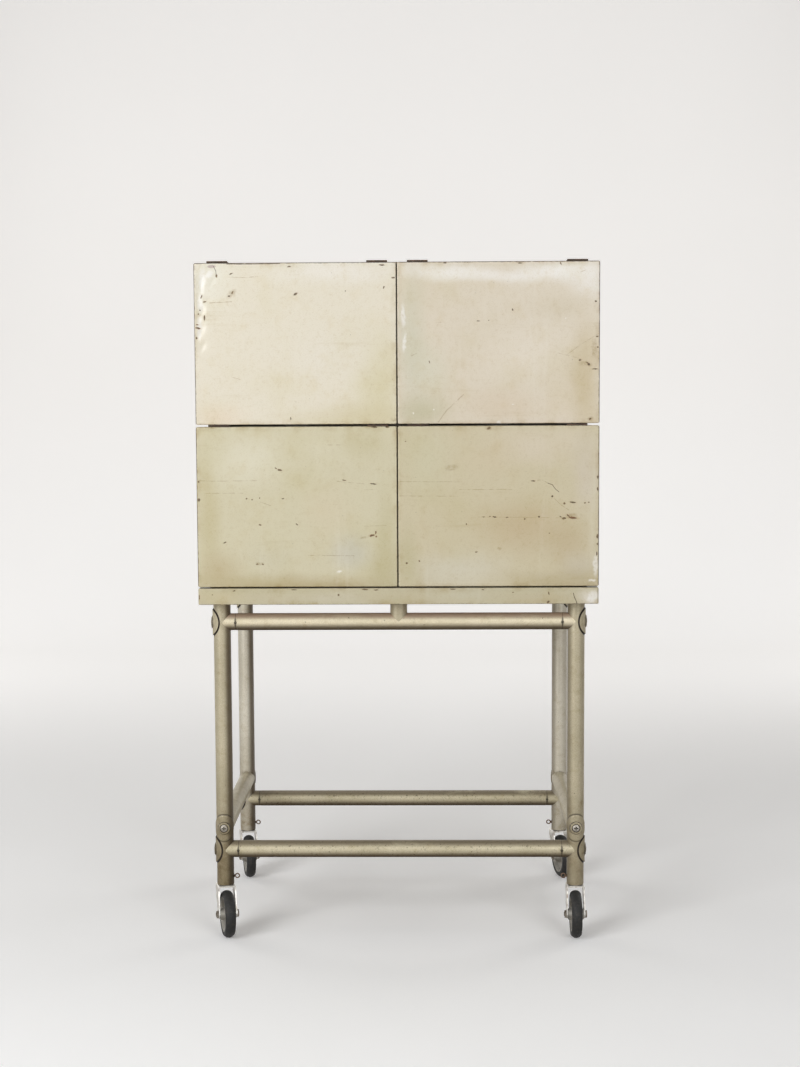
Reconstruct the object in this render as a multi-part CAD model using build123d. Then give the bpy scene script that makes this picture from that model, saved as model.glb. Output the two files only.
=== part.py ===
from build123d import *
import math
import os

# Small metal cabinet: a sheet steel body with four top-hinged flap fronts,
# carried by a frame of round tube on four swivel casters.
# Millimetres, +Z up, fronts towards -Y, origin on the floor under the middle.

# ---- driving dimensions -------------------------------------------------
width = 732.0            # over the fronts and the base pan
depth = 522.0            # front face of the fronts to the back of the body
sheet = 1.5              # body and front sheet
gap = 4.0                # open line between neighbouring fronts
front_height = 291.0     # one flap front
front_depth = 19.5       # front skin to the back of its returns
front_lip = 12.0         # folded in behind the returns
seat = 0.5               # air between a shut front and the body
side_inset = 20.0        # fronts stand out past the body on each side

pan_bottom = 636.5       # lower edge of the base pan's flange
pan_top = 666.5
pan_sheet = 2.0
pan_corner_r = 4.0       # upright corners of the pan's flange
pan_edge_r = 2.5         # bend between its plate and its flange

front_corner_r = 3.0     # corners of a front, seen from the front
front_bend_r = 2.0       # bend from its skin to its returns
front_mouth_r = 4.0      # corners of the opening in its back
body_bend_r = 1.2        # outer bends of the side panels and the top
slot_spare = 0.3         # air above and below a hinge leaf in its slot

tube_r = 16.0            # round tube, 32 mm outside
tube_wall = 2.0
tube_chamfer = 0.4
screw_hole_r = 3.2       # through the legs, for the joint screws
leg_x = 330.0            # leg axes
leg_y = 200.0
leg_bottom = 98.5
upper_bar_z = 597.0
lower_bar_z = 165.0
side_bar_z = 208.5

fitting_r = 15.85        # coped end fittings, a shade under the tube
joint_line = 29.0        # leg axis to the line where a fitting meets its tube
cope_gap = 0.02          # a coped end off the tube it sits on
spigot_length = 25.0
lock_hole_r = 2.6        # small blind holes in the fittings, by the joint line
lock_hole_in = 2.8
lock_hole_depth = 2.7

saddle_gap = 0.2         # bent washer off the tube
saddle_sheet = 1.8
saddle_half_height = 25.0
saddle_half_angle = 75.0
boss_r = 12.0
boss_rise = 1.4
screw_r = 3.0
screw_head_r = 6.4
screw_dome = 1.6         # rise of the head over the boss
screw_tip_in = 5.0       # its tip stops this far inside the spigot

bolt_r = 5.0             # bolts through floor and pan into the legs
bolt_hole_r = 5.3
bolt_head_r = 9.0
bolt_head_height = 5.0
bolt_tip_in = 4.0        # its tip stops this far inside the plug
plug_length = 24.0
eye_shank_r = 2.0        # ring-headed screws at the legs' feet
eye_ring_r = 5.6
eye_hole_r = 3.1
eye_half_thickness = 1.1
eye_stand_off = 0.5      # ring off the tube
eye_tip_in = 1.5         # its tip runs this deep in the stem's groove

hinge_length = 37.5
hinge_spacing = 288.0    # between the two hinges of one front
knuckle_r = 1.6
pin_r = 0.8
leaf_sheet = 0.8
axis_back = 2.0          # hinge axis behind the front face
axis_up = 1.8            # hinge axis above the front's top edge
body_step = 1.2          # top and shelves lie this much above a front's top edge
leaf_reach = 30.0        # body leaf, from the axis back over the body
rivet_r = 3.2            # flat rivet heads on the body leaves
rivet_rise = 0.9
rivet_spread = 11.0      # each side of a hinge's middle
rivet_back = 5.5         # behind the body's front

magnet_half_width = 20.0
magnet_height = 14.0
magnet_face = 0.2        # stands out of the body's front by this much
magnet_chamfer = 1.5

wheel_r = 44.0
tyre_width = 19.0
rim_r = 33.0
trail = 17.0
crown_top = 97.0
crown_sheet = 3.0
fork_sheet = 2.5
fork_half_width = 16.8   # outside, at the crown
fork_splay = 1.0         # each arm leans out this much by the axle
arm_end_r = 8.0
shoulder_drop = 9.0      # flat of the crown down to where the arms start to taper
shoulder_r = 4.0
half_crown = 16.0        # crown, from the stem's axis to its front and back edges
axle_r = 4.0
axle_hex_r = 7.2         # over the corners of the axle's head and nut
axle_head_height = 3.0
axle_nut_height = 3.2
axle_stick_out = 4.2     # thread that shows past the nut's arm
axle_seat = 0.05         # head and nut off the arms
stem_r = 5.5
stem_top = 140.0
stem_groove_half = 3.0
stem_groove_depth = 2.2
eye_screw_z = 113.0
hub_r = 10.0
hub_end_gap = 0.2        # hub past the arms' nominal inside, where they lean out
web_r = 26.0             # wheel centre: where the web meets the flanged rim
web_half = 2.0
running = 0.05           # radial clearance of what turns

# ---- derived places -----------------------------------------------------
front_y = -depth / 2
body_front = front_y + front_depth + seat
body_back = depth / 2 - sheet
body_half = width / 2 - side_inset
lower_z = pan_top + gap
upper_z = lower_z + front_height + gap
front_width = (width - gap) / 2
front_centre = (front_width + gap) / 2
shelf_top = lower_z + front_height + body_step
top_surface = upper_z + front_height + body_step
floor_top = pan_top + sheet
return_flange = 15.0     # folded edges of the body's side panels
lip = 20.0               # folded front edges of the shelves and the top
divider_half = 6.0
axis_y = front_y + axis_back

# each pair of hinges sits a little off its front's middle
hinge_pair_x = {"left": -179.5, "right": 181.5}
front_x = {"left": -front_centre, "right": front_centre}
front_bottom = {"lower": lower_z, "upper": upper_z}
front_top = {row: bottom + front_height for row, bottom in front_bottom.items()}

legs = {
    "front_left": (-leg_x, -leg_y),
    "front_right": (leg_x, -leg_y),
    "rear_left": (-leg_x, leg_y),
    "rear_right": (leg_x, leg_y),
}
# how far each caster is turned at rest, degrees about +Z from wheel-forward
caster_turn = {"front_left": 16.0, "front_right": 0.0, "rear_left": 13.0, "rear_right": 14.0}

x_axis = (0, 90, 0)      # turns a +Z cylinder onto X
y_axis = (90, 0, 0)      # turns a +Z cylinder onto Y


# ---- helpers ------------------------------------------------------------
def block(x0, x1, y0, y1, z0, z1):
    """Box between two corners."""
    middle = Pos((x0 + x1) / 2, (y0 + y1) / 2, (z0 + z1) / 2)
    return middle * Box(x1 - x0, y1 - y0, z1 - z0)


def upright(x, y, z0, z1, radius):
    """Cylinder along Z."""
    return Pos(x, y, (z0 + z1) / 2) * Cylinder(radius, z1 - z0)


def along_x(x0, x1, y, z, radius):
    """Cylinder along X."""
    return Pos((x0 + x1) / 2, y, z) * Rot(*x_axis) * Cylinder(radius, x1 - x0)


def along_y(x, y0, y1, z, radius):
    """Cylinder along Y."""
    return Pos(x, (y0 + y1) / 2, z) * Rot(*y_axis) * Cylinder(radius, y1 - y0)


def save(name, *solids):
    """Write one node, of one or more separate solids."""
    shapes = [piece for solid in solids for piece in solid.solids()]
    node = shapes[0] if len(shapes) == 1 else Compound(children=shapes)
    node.label = name
    export_step(node, f"parts/{name}.step")


# ---- body: base pan and sheet steel case ---------------------------------
def base_pan():
    """Tray turned upside down: top plate with a flange folded down all round."""
    outer = block(-width / 2, width / 2, front_y, depth / 2, pan_bottom, pan_top)
    outer = fillet(outer.edges().filter_by(Axis.Z), pan_corner_r)
    outer = fillet(outer.faces().sort_by(Axis.Z)[-1].edges(), pan_edge_r)
    inner = block(
        -width / 2 + pan_sheet, width / 2 - pan_sheet,
        front_y + pan_sheet, depth / 2 - pan_sheet,
        pan_bottom - 1, pan_top - pan_sheet,
    )
    inner = fillet(inner.edges().filter_by(Axis.Z), pan_corner_r - pan_sheet)
    holes = [upright(x, y, pan_bottom, pan_top + 1, bolt_hole_r) for x, y in legs.values()]
    dowel_holes = [upright(0, y, pan_bottom, pan_top + 1, bolt_r + running)
                   for y in (-leg_y, leg_y)]
    return outer - inner - holes - dowel_holes


def body_floor():
    """Flat sheet on the pan, with the bolt holes that go through both."""
    floor = block(-body_half + sheet, body_half - sheet, body_front, body_back - 2 * sheet,
                  pan_top, floor_top)
    for side in (-1, 1):
        x0, x1 = sorted((side * (body_half - sheet), side * (body_half - sheet - return_flange)))
        floor -= block(x0, x1, body_front - 1, body_front + sheet, pan_top - 1, floor_top + 1)
    holes = [upright(x, y, pan_top - 1, floor_top + 1, bolt_hole_r) for x, y in legs.values()]
    return floor - holes


def body_side(side):
    """C-section panel: web with its front and back edges folded inwards."""
    outside = side * body_half
    inside = side * (body_half - sheet)
    folded = side * (body_half - return_flange)
    top = top_surface - sheet
    web = block(*sorted((outside, inside)), body_front, body_back, pan_top, top)
    front = block(*sorted((inside, folded)), body_front, body_front + sheet, pan_top, top)
    back = block(*sorted((inside, folded)), body_back - sheet, body_back, pan_top, top)
    slot = block(*sorted((inside, folded - side)), body_front - 1, body_front + sheet + 1,
                 shelf_top - slot_spare, shelf_top + leaf_sheet + slot_spare)
    panel = web + front + back - slot
    bends = panel.edges().filter_by(Axis.Z).filter_by_position(
        Axis.X, *sorted((outside - 0.1, outside + 0.1)))
    return fillet(bends, body_bend_r)


def body_back_panel():
    """Flat back sheet, held in front of the side panels' rear folds."""
    return block(-body_half + sheet, body_half - sheet, body_back - 2 * sheet, body_back - sheet,
                 pan_top, top_surface - sheet)


def body_top():
    """Lid with flanges outside the sides and back, and a lip behind the fronts."""
    half = body_half + sheet
    lid = block(-half, half, body_front, depth / 2, top_surface - sheet, top_surface)
    for side in (-1, 1):
        x0, x1 = sorted((side * body_half, side * half))
        lid += block(x0, x1, body_front, depth / 2, top_surface - lip, top_surface - sheet)
    lid += block(-half, half, body_back, depth / 2, top_surface - lip, top_surface - sheet)
    lid += block(-body_half + return_flange, body_half - return_flange,
                 body_front, body_front + sheet, top_surface - lip, top_surface - sheet)
    bends = lid.edges().filter_by_position(Axis.Z, top_surface - 0.1, top_surface + 0.1)
    return fillet(bends.sort_by(Axis.Y)[1:], body_bend_r)


def centre_divider():
    """Boxed upright partition, open at its back edge."""
    top = top_surface - sheet
    post = block(-divider_half, divider_half, body_front, body_back - 2 * sheet, floor_top, top)
    post = post - block(-divider_half + sheet, divider_half - sheet,
                        body_front + sheet, body_back, floor_top - 1, top + 1)
    lip_slot = block(-divider_half - 1, divider_half + 1, body_front - 1, body_front + sheet,
                     top_surface - lip, top_surface)
    return post - lip_slot


def shelf(side):
    """Shelf between a side panel and the divider, with its front edge folded down."""
    inner = side * divider_half
    plate = block(*sorted((inner, side * (body_half - sheet))), body_front + sheet,
                  body_back - 2 * sheet, shelf_top - sheet, shelf_top)
    front = block(*sorted((inner, side * (body_half - return_flange))),
                  body_front, body_front + sheet, shelf_top - lip, shelf_top)
    return plate + front


# ---- flap fronts and their hinges ----------------------------------------
def flap_front(column, row):
    """Pan-shaped front: skin, four returns and a lip folded in behind them."""
    x0 = front_x[column] - front_width / 2
    x1 = front_x[column] + front_width / 2
    z0 = front_bottom[row]
    z1 = front_top[row]
    back = front_y + front_depth
    shell = block(x0, x1, front_y, back, z0, z1)
    shell = fillet(shell.edges().filter_by(Axis.Y), front_corner_r)
    shell = fillet(shell.faces().sort_by(Axis.Y)[0].edges(), front_bend_r)
    hollow = block(x0 + sheet, x1 - sheet, front_y + sheet, back - sheet, z0 + sheet, z1 - sheet)
    hollow = fillet(hollow.edges().filter_by(Axis.Y), front_corner_r - sheet)
    edge = sheet + front_lip
    mouth = block(x0 + edge, x1 - edge, back - sheet - 1, back + 1, z0 + edge, z1 - edge)
    mouth = fillet(mouth.edges().filter_by(Axis.Y), front_mouth_r)
    return shell - hollow - mouth


def hinge_places(column):
    """Middles of the two hinges over one front."""
    middle = hinge_pair_x[column]
    return (middle - hinge_spacing / 2, middle + hinge_spacing / 2)


def knuckle_spans(x):
    """The body's two outer knuckles and the front's middle one, left to right."""
    half = hinge_length / 2
    third = hinge_length / 6
    slack = 0.15
    return [
        (x - half, x - third - slack),
        (x - third + slack, x + third - slack),
        (x + third + slack, x + half),
    ]


def rolled_leaf(x, z_axis, spans, z0, y_end, bore_r):
    """A leaf with its rolled knuckles; its plate clears the other leaf's knuckles."""
    clear = axis_y + knuckle_r + 0.4
    leaf = block(x - hinge_length / 2, x + hinge_length / 2, clear, y_end, z0, z0 + leaf_sheet)
    for x0, x1 in spans:
        leaf += block(x0, x1, axis_y, clear, z0, z0 + leaf_sheet)
        leaf += along_x(x0, x1, axis_y, z_axis, knuckle_r)
    return leaf - along_x(x - hinge_length, x + hinge_length, axis_y, z_axis, bore_r)


def front_leaf(x, row):
    """Leaf on the front's top return, with the middle knuckle."""
    top = front_top[row]
    spans = knuckle_spans(x)[1:2]
    return rolled_leaf(x, top + axis_up, spans, top, front_y + front_depth - 1, pin_r + running)


def body_leaf(x, row):
    """Leaf that reaches back over the body, with the two outer knuckles."""
    top = front_top[row]
    spans = knuckle_spans(x)[0::2]
    return rolled_leaf(x, top + axis_up, spans, top + body_step, axis_y + leaf_reach, pin_r)


def hinge_pin(x, row):
    """Plain pin the full length of a hinge."""
    return along_x(x - hinge_length / 2, x + hinge_length / 2, axis_y, front_top[row] + axis_up, pin_r)


def hinge_rivet(x, row):
    """Flat head of a rivet that holds a body leaf on the top or a shelf."""
    base = front_top[row] + body_step + leaf_sheet
    return upright(x, body_front + rivet_back, base, base + rivet_rise, rivet_r)


def door_magnet(column, row):
    """Magnet case that holds a shut front by its bottom lip."""
    base = floor_top if row == "lower" else shelf_top
    x = front_x[column]
    case = block(x - magnet_half_width, x + magnet_half_width,
                 body_front - magnet_face, body_front + magnet_height, base, base + magnet_height)
    return chamfer(case.edges().filter_by(Axis.Y).sort_by(Axis.Z)[-2:], magnet_chamfer)


# ---- tube frame ------------------------------------------------------------
def leg(x, y):
    """Tube leg, drilled for the joint screws and the eye screw."""
    tube = upright(x, y, leg_bottom, pan_top - pan_sheet, tube_r)
    tube -= upright(x, y, leg_bottom - 1, pan_top, tube_r - tube_wall)
    reach = tube_r + 2
    for z in (upper_bar_z, lower_bar_z):
        tube -= along_x(x - reach, x + reach, y, z, screw_hole_r)
    tube -= along_y(x, y - reach, y + reach, side_bar_z, screw_hole_r)
    inward = -math.copysign(reach, x)
    x0, x1 = sorted((x, x + inward))
    return tube - along_x(x0, x1, y, eye_screw_z, eye_shank_r)


def cross_bar(y, z):
    """Tube between the end fittings of two legs, along X."""
    reach = leg_x - joint_line
    bar = along_x(-reach, reach, y, z, tube_r)
    bar = chamfer(bar.edges().filter_by(GeomType.CIRCLE), tube_chamfer)
    return bar - along_x(-reach - 1, reach + 1, y, z, tube_r - tube_wall)


def side_bar(x):
    """Tube between the end fittings of a front and a rear leg, along Y."""
    reach = leg_y - joint_line
    bar = along_y(x, -reach, reach, side_bar_z, tube_r)
    bar = chamfer(bar.edges().filter_by(GeomType.CIRCLE), tube_chamfer)
    return bar - along_y(x, -reach - 1, reach + 1, side_bar_z, tube_r - tube_wall)


def end_fitting():
    """Turned end, coped to the leg at the origin, with its spigot towards -X."""
    fitting = along_x(-joint_line, 0, 0, 0, fitting_r)
    fitting += along_x(-joint_line - spigot_length, -joint_line, 0, 0, tube_r - tube_wall - running)
    fitting -= upright(0, 0, -2 * tube_r, 2 * tube_r, tube_r + cope_gap)
    return fitting - along_x(-joint_line - spigot_length - 1, 0, 0, 0, screw_r)


def lock_hole(side):
    """Cut for a fitting's lock hole, on its -Y or +Y side."""
    y0, y1 = sorted((side * (fitting_r + 1), side * (fitting_r - lock_hole_depth)))
    return along_y(-joint_line + lock_hole_in, y0, y1, 0, lock_hole_r)


def saddle_washer():
    """Round washer bent over the leg at the origin, on its +X side, with a dished boss."""
    inner = tube_r + saddle_gap
    outer = inner + saddle_sheet
    steps = 8
    outline = []
    for step in range(steps + 1):
        turn = 2 * math.pi * (step - 1) / steps
        across = outer * math.sin(math.radians(saddle_half_angle) * math.cos(turn))
        outline.append((across, saddle_half_height * math.sin(turn)))
    rim = [ThreePointArc(*outline[i:i + 3]) for i in range(0, steps, 2)]
    face = Plane(origin=(0, 0, 0), x_dir=(0, 1, 0), z_dir=(1, 0, 0)) * make_face(rim)
    blank = extrude(face, amount=outer + 1)
    boss_top = outer + boss_rise
    boss = Pos(boss_top / 2, 0, 0) * Rot(*x_axis) * Cone(boss_r + 1, boss_r - 1, boss_top)
    reach = 2 * saddle_half_height
    washer = (blank & upright(0, 0, -reach, reach, outer)) + boss
    washer -= upright(0, 0, -reach, reach, inner)
    drop = screw_head_r - screw_r
    return washer - Pos(boss_top - drop / 2, 0, 0) * Rot(*x_axis) * Cone(screw_r, screw_head_r, drop)


def joint_screw():
    """Raised countersunk screw, its head towards +X."""
    rim = tube_r + saddle_gap + saddle_sheet + boss_rise
    top = rim + screw_dome
    neck = rim - (screw_head_r - screw_r)
    tip = -joint_line - spigot_length + screw_tip_in
    shank_r = screw_r - running
    dome_r = (screw_head_r**2 + screw_dome**2) / (2 * screw_dome)
    halfway = math.sqrt(dome_r**2 - (screw_head_r / 2)**2) - dome_r
    dome = ThreePointArc((rim, screw_head_r), (top + halfway, screw_head_r / 2), (top, 0))
    side = Polyline((top, 0), (tip, 0), (tip, shank_r), (neck, shank_r), (rim, screw_head_r))
    return revolve(make_face([dome, side]), Axis.X)


def corner_places(z):
    """Both ends of the front and rear bars at one height, washers facing out along X."""
    places = []
    for x, y in legs.values():
        turn = 0 if x > 0 else 180
        places.append(Pos(x, y, z) * Rot(0, 0, turn))
    return places


def side_places():
    """Both ends of the two side bars, washers facing out along Y."""
    places = []
    for x, y in legs.values():
        turn = 90 if y > 0 else -90
        places.append(Pos(x, y, side_bar_z) * Rot(0, 0, turn))
    return places


def bar_ends(z):
    """The four fittings of the front and rear bars at one height, lock holes to the front."""
    ends = []
    for place, (x, y) in zip(corner_places(z), legs.values()):
        ends.append(place * (end_fitting() - lock_hole(-math.copysign(1, x))))
    return ends


def side_bar_ends():
    """The four fittings of the side bars, lock holes to the outside."""
    ends = []
    for place, (x, y) in zip(side_places(), legs.values()):
        ends.append(place * (end_fitting() - lock_hole(-math.copysign(1, x * y))))
    return ends


def centre_stub(y):
    """Short upright between an upper bar and the pan, its foot coped to the bar."""
    stub = upright(0, y, upper_bar_z, pan_top - pan_sheet, fitting_r)
    stub -= upright(0, y, upper_bar_z - 1, pan_top, fitting_r - tube_wall)
    return stub - along_x(-2 * tube_r, 2 * tube_r, y, upper_bar_z, tube_r + cope_gap)


# ---- fixings at the tubes' ends ----------------------------------------------
def leg_plug(x, y):
    """Threaded plug in the top end of a leg."""
    top = pan_top - pan_sheet
    plug = upright(x, y, top - plug_length, top, tube_r - tube_wall - running)
    return plug - upright(x, y, top - plug_length - 1, top + 1, bolt_r)


def stub_plug(y):
    """Plug in the top end of a centre stub, with a dowel into the pan."""
    top = pan_top - pan_sheet
    plug = upright(0, y, top - plug_length, top, fitting_r - tube_wall - running)
    return plug + upright(0, y, top, pan_top, bolt_r)


def pan_bolt(x, y):
    """Hex bolt from inside the case, through floor and pan, into a leg's plug."""
    head = Pos(x, y, floor_top) * extrude(RegularPolygon(bolt_head_r, 6), amount=bolt_head_height)
    tip = pan_top - pan_sheet - plug_length + bolt_tip_in
    return head + upright(x, y, tip, floor_top, bolt_r - running)


def stem_sleeve(x, y):
    """Flanged sleeve in the foot of a leg, in which a caster's stem turns."""
    sleeve = upright(x, y, leg_bottom, stem_top + 4, tube_r - tube_wall - running)
    sleeve += upright(x, y, crown_top + 0.3, leg_bottom, tube_r - 0.5)
    sleeve -= upright(x, y, crown_top, stem_top + 5, stem_r + running)
    inward = -math.copysign(tube_r, x)
    x0, x1 = sorted((x, x + inward))
    return sleeve - along_x(x0, x1, y, eye_screw_z, eye_shank_r)


def eye_screw(x, y):
    """Ring-headed screw on the inner side of a leg; its tip keeps the stem in."""
    side = -math.copysign(1, x)
    centre = x + side * (tube_r + eye_ring_r + eye_stand_off)
    into_ring = centre - side * (eye_hole_r + eye_half_thickness / 2)
    x0, x1 = sorted((x + side * (stem_r - eye_tip_in), into_ring))
    shank = along_x(x0, x1, y, eye_screw_z, eye_shank_r - 0.02)
    near, far = y - eye_half_thickness, y + eye_half_thickness
    ring = along_y(centre, near, far, eye_screw_z, eye_ring_r)
    return ring + shank - along_y(centre, near - 1, far + 1, eye_screw_z, eye_hole_r)


# ---- casters ---------------------------------------------------------------
def caster_fork():
    """Pressed U fork: flat crown, bent shoulders, arms that lean out and taper to the axle."""
    low = wheel_r - arm_end_r
    inner = fork_half_width - fork_sheet
    outside = Polyline(
        (-fork_half_width - fork_splay, low),
        (-fork_half_width, crown_top),
        (fork_half_width, crown_top),
        (fork_half_width + fork_splay, low),
    )
    inside = Polyline(
        (inner + fork_splay, low),
        (inner, crown_top - crown_sheet),
        (-inner, crown_top - crown_sheet),
        (-inner - fork_splay, low),
    )
    foot_right = Line(outside @ 1, inside @ 0)
    foot_left = Line(inside @ 1, outside @ 0)
    section = make_face([outside, foot_right, inside, foot_left])
    press = extrude(Plane.XZ * section, amount=half_crown + trail + arm_end_r, both=True)
    shoulders = press.edges().filter_by(Axis.Y).group_by(Axis.Z)
    press = fillet(shoulders[-1], shoulder_r)
    return press & arm_outline()


def arm_outline():
    """Side view of the fork, extruded across it: crown block running down to round ends."""
    axle = (-trail, wheel_r)
    top_front = (-half_crown, crown_top - shoulder_drop)
    top_back = (half_crown, crown_top - shoulder_drop)
    front_touch = (axle[0] - arm_end_r, axle[1] + 1)
    back_touch = (axle[0] + arm_end_r * 0.87, axle[1] - arm_end_r * 0.5)
    low = (axle[0] - arm_end_r * 0.5, axle[1] - arm_end_r * 0.87)
    outline = make_face([
        Line(front_touch, top_front),
        Line(top_front, (-half_crown, crown_top)),
        Line((-half_crown, crown_top), (half_crown, crown_top)),
        Line((half_crown, crown_top), top_back),
        Line(top_back, back_touch),
        ThreePointArc(back_touch, low, front_touch),
    ])
    side = Plane.YZ * outline
    across = fork_half_width + fork_splay + 1
    solid = extrude(side, amount=across, both=True)
    return solid - along_x(-across, across, -trail, wheel_r, axle_r + running)


def caster_stem():
    """Turned stem on the crown, with the groove that the eye screw's tip runs in."""
    stem = upright(0, 0, crown_top, stem_top, stem_r)
    stem = chamfer(stem.faces().sort_by(Axis.Z)[-1].edges(), 1.0)
    low, high = eye_screw_z - stem_groove_half, eye_screw_z + stem_groove_half
    groove = upright(0, 0, low, high, stem_r + 1) - upright(0, 0, low, high, stem_r - stem_groove_depth)
    return stem - groove


def axle_bolt():
    """Hex bolt across the fork."""
    face = fork_half_width + fork_splay + axle_seat
    head = Rot(0, 90, 0) * extrude(RegularPolygon(axle_hex_r, 6), amount=axle_head_height)
    bolt = Pos(face, -trail, wheel_r) * head
    return bolt + along_x(-face - axle_stick_out, face, -trail, wheel_r, axle_r)


def axle_nut():
    """Hex nut on the axle bolt's other end."""
    face = fork_half_width + fork_splay + axle_seat
    nut = Rot(0, -90, 0) * extrude(RegularPolygon(axle_hex_r, 6), amount=axle_nut_height)
    bore = along_x(-face - axle_nut_height - 1, -face + 1, -trail, wheel_r, axle_r)
    return Pos(-face, -trail, wheel_r) * nut - bore


def wheel_rim():
    """Dished steel centre: hub barrel, thin web and a flanged rim."""
    hub_half = fork_half_width - fork_sheet + hub_end_gap
    half = tyre_width / 2 - 0.6
    one_side = [
        (hub_half, axle_r + running),
        (hub_half, hub_r),
        (web_half + 3, hub_r + 2),
        (web_half, hub_r + 4),
        (web_half, web_r),
        (half, web_r + 3),
        (half, rim_r),
    ]
    other_side = [(-across, radius) for across, radius in reversed(one_side)]
    face = make_face(Polyline(*one_side, *other_side, close=True))
    rim = revolve(face, Axis.X)
    return Pos(0, -trail, wheel_r) * rim


def tyre():
    """Solid rubber tyre with a rounded tread."""
    half = tyre_width / 2
    shoulder = wheel_r - 5.0
    crown = ThreePointArc((-half, shoulder), (0, wheel_r), (half, shoulder))
    wall = Polyline((half, shoulder), (half, rim_r), (-half, rim_r), (-half, shoulder))
    face = make_face([crown, wall])
    return Pos(0, -trail, wheel_r) * revolve(face, Axis.X)


# ---- write every node --------------------------------------------------------
def write_body():
    save("base_pan", base_pan())
    save("body_floor", body_floor())
    save("body_left_side", body_side(-1))
    save("body_right_side", body_side(1))
    save("body_back", body_back_panel())
    save("body_top", body_top())
    save("centre_divider", centre_divider())
    save("left_shelf", shelf(-1))
    save("right_shelf", shelf(1))


def write_fronts():
    fronts = [(column, row) for row in ("upper", "lower") for column in ("left", "right")]
    for column, row in fronts:
        save(f"{row}_{column}_front", flap_front(column, row))
        leaves = [front_leaf(x, row) for x in hinge_places(column)]
        save(f"{row}_{column}_front_leaves", *leaves)
    hinges = [(x, row) for column, row in fronts for x in hinge_places(column)]
    save("hinge_body_leaves", *[body_leaf(x, row) for x, row in hinges])
    save("hinge_pins", *[hinge_pin(x, row) for x, row in hinges])
    rivets = [hinge_rivet(x + side * rivet_spread, row) for x, row in hinges for side in (-1, 1)]
    save("hinge_rivets", *rivets)
    save("front_magnets", *[door_magnet(column, row) for column, row in fronts])


def write_frame():
    for name, (x, y) in legs.items():
        save(f"{name}_leg", leg(x, y))
    for name, y in (("front", -leg_y), ("rear", leg_y)):
        save(f"{name}_upper_bar", cross_bar(y, upper_bar_z))
        save(f"{name}_lower_bar", cross_bar(y, lower_bar_z))
        save(f"{name}_centre_stub", centre_stub(y))
    save("left_side_bar", side_bar(-leg_x))
    save("right_side_bar", side_bar(leg_x))
    save("upper_bar_ends", *bar_ends(upper_bar_z))
    save("lower_bar_ends", *bar_ends(lower_bar_z))
    save("side_bar_ends", *side_bar_ends())
    joints = corner_places(upper_bar_z) + corner_places(lower_bar_z) + side_places()
    washer = saddle_washer()
    screw = joint_screw()
    save("saddle_washers", *[place * washer for place in joints])
    save("saddle_screws", *[place * screw for place in joints])
    plugs = [leg_plug(x, y) for x, y in legs.values()]
    save("tube_top_plugs", *plugs, stub_plug(-leg_y), stub_plug(leg_y))
    save("pan_bolts", *[pan_bolt(x, y) for x, y in legs.values()])
    save("stem_sleeves", *[stem_sleeve(x, y) for x, y in legs.values()])
    save("stem_eye_screws", *[eye_screw(x, y) for x, y in legs.values()])


def write_casters():
    pieces = {
        "fork": [caster_fork(), caster_stem()],
        "axle": [axle_bolt(), axle_nut()],
        "rim": [wheel_rim()],
        "tyre": [tyre()],
    }
    for name, (x, y) in legs.items():
        place = Pos(x, y, 0) * Rot(0, 0, caster_turn[name])
        for piece, solids in pieces.items():
            save(f"{name}_caster_{piece}", *[place * solid for solid in solids])


os.makedirs("parts", exist_ok=True)
write_body()
write_fronts()
write_frame()
write_casters()
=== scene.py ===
from math import asin, atan2, copysign, cos, exp, pi, radians, sin, sqrt

import bmesh
import bpy
from mathutils import Matrix, Vector


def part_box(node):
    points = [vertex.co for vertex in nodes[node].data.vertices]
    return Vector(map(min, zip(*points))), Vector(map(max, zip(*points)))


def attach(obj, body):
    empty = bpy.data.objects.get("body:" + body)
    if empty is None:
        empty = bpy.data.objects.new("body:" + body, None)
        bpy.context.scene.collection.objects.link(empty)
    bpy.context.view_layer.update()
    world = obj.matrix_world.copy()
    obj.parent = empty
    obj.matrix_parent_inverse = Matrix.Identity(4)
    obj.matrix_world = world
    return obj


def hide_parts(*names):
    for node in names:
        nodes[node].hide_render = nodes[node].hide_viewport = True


# Cream enamelled sheet metal cabinet with four flap fronts on a painted tube
# stand with casters. Metres; the fronts face -Y.

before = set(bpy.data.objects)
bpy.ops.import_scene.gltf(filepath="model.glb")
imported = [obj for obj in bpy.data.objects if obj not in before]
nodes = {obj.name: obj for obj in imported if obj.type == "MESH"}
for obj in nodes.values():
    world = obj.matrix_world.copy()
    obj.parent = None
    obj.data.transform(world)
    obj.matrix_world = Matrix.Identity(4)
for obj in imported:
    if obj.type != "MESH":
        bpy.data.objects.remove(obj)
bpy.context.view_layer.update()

MM = 0.001

# ---- places read from the model ----
front_names = ["upper_left_front", "upper_right_front", "lower_left_front", "lower_right_front"]
leg_names = ["front_left", "front_right", "rear_left", "rear_right"]
pan_low, pan_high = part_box("base_pan")
washer_half_height = 25 * MM
washer_half_angle = radians(75)   # how far a bent washer reaches round its leg


def middle(name):
    low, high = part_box(name)
    return (low + high) / 2


# ---- camera ----
camera_place = Vector((0.0574, -3.3583, 1.0294))
camera_pitch = 0.0847        # radians down from level
camera_turn = 0.0172         # radians to the left of straight ahead
camera_roll = 0.0051
camera_lens = 57.60          # millimetres, 36 mm along the picture's long side


# ---- small helpers ----
def srgb(red, green, blue):
    """A colour written as 0 to 255 screen values, as linear red, green, blue and alpha."""
    def linear(value):
        value /= 255
        return value / 12.92 if value <= 0.04045 else ((value + 0.055) / 1.055) ** 2.4
    return (linear(red), linear(green), linear(blue), 1.0)


def add_object(name, data):
    thing = bpy.data.objects.new(name, data)
    bpy.context.scene.collection.objects.link(thing)
    return thing


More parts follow.
